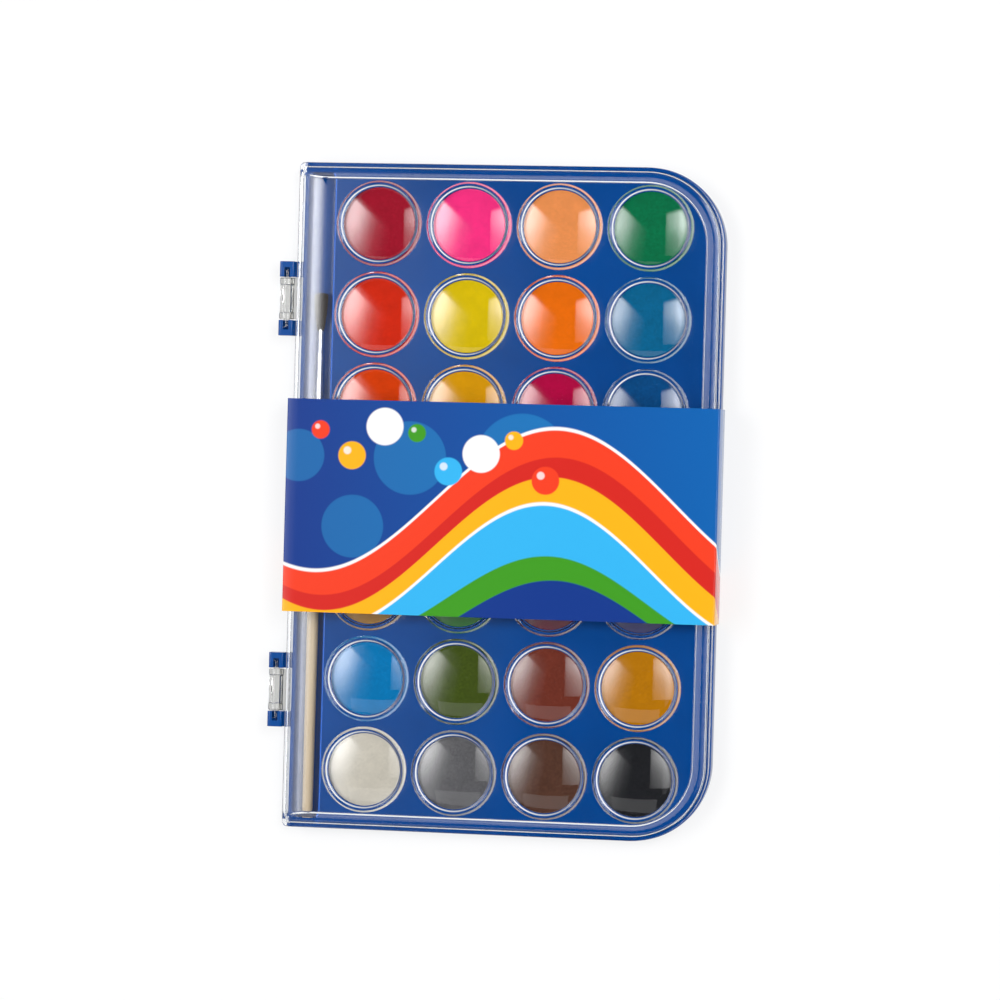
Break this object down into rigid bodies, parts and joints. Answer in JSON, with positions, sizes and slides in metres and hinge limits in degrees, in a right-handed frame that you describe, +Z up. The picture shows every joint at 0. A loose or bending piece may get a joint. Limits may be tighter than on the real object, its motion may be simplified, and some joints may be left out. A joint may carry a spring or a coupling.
{
  "type": "watercolor paint case",
  "caption": "Flat hinged watercolour case: welled tray of round paint cakes under a clear lens-domed lid, with a brush in a side channel and a card band round the middle.",
  "frame": {"origin": "on the ground at the middle of the overall outline, hinge ears and card band included", "axes": "+Z up out of the lid, +Y along the hinge towards the end that the brush points to, +X from the hinge to the free edge"},
  "size_m": [0.1388, 0.206, 0.0152],
  "materials": {
    "blue_plastic": "gloss",
    "clear_plastic": "clear gloss",
    "printed_card": "glossy print",
    "birch": "bare",
    "ferrule_metal": "polished",
    "hair": "matte",
    "crimson_paint": "matte, chalky",
    "hot_pink_paint": "matte, chalky",
    "peach_paint": "matte, chalky",
    "emerald_paint": "matte, chalky",
    "vermilion_paint": "matte, chalky",
    "lemon_yellow_paint": "matte, chalky",
    "orange_paint": "matte, chalky",
    "teal_paint": "matte, chalky",
    "scarlet_paint": "matte, chalky",
    "amber_paint": "matte, chalky",
    "magenta_paint": "matte, chalky",
    "azure_paint": "matte, chalky",
    "coral_paint": "matte, chalky",
    "lime_green_paint": "matte, chalky",
    "plum_paint": "matte, chalky",
    "turquoise_paint": "matte, chalky",
    "gold_ochre_paint": "matte, chalky",
    "grass_green_paint": "matte, chalky",
    "maroon_paint": "matte, chalky",
    "indigo_paint": "matte, chalky",
    "sky_blue_paint": "matte, chalky",
    "olive_paint": "matte, chalky",
    "russet_paint": "matte, chalky",
    "yellow_ochre_paint": "matte, chalky",
    "white_paint": "matte, chalky",
    "grey_paint": "matte, chalky",
    "dark_brown_paint": "matte, chalky",
    "black_paint": "matte, chalky"
  },
  "bodies": {
    "tray": {"base_tray": "blue_plastic", "crimson_cake": "crimson_paint", "hot_pink_cake": "hot_pink_paint", "peach_cake": "peach_paint", "emerald_cake": "emerald_paint", "vermilion_cake": "vermilion_paint", "lemon_yellow_cake": "lemon_yellow_paint", "orange_cake": "orange_paint", "teal_cake": "teal_paint", "scarlet_cake": "scarlet_paint", "amber_cake": "amber_paint", "magenta_cake": "magenta_paint", "azure_cake": "azure_paint", "coral_cake": "coral_paint", "lime_green_cake": "lime_green_paint", "plum_cake": "plum_paint", "turquoise_cake": "turquoise_paint", "gold_ochre_cake": "gold_ochre_paint", "grass_green_cake": "grass_green_paint", "maroon_cake": "maroon_paint", "indigo_cake": "indigo_paint", "sky_blue_cake": "sky_blue_paint", "olive_cake": "olive_paint", "russet_cake": "russet_paint", "yellow_ochre_cake": "yellow_ochre_paint", "white_cake": "white_paint", "grey_cake": "grey_paint", "dark_brown_cake": "dark_brown_paint", "black_cake": "black_paint"},
    "lid": {"lid": "clear_plastic"},
    "brush": {"brush_handle": "birch", "brush_ferrule": "ferrule_metal", "brush_bristles": "hair"},
    "band": {"card_band": "printed_card"}
  },
  "joints": [
    {"name": "lid_hinge", "type": "hinge", "parent": "tray", "child": "lid", "pos_m": [-0.06703, 0, 0.0073], "axis": [0, -1, 0], "range_deg": [0, 180], "deforming": ["card_band"]},
    {"name": "brush_slide", "type": "slide", "parent": "tray", "child": "brush", "axis": [0, 1, 0], "range_m": [0, 0.0356]},
    {"name": "band_slide", "type": "slide", "parent": "tray", "child": "band", "axis": [0, 1, 0], "range_m": [-0.0128, 0.0192]}
  ]
}
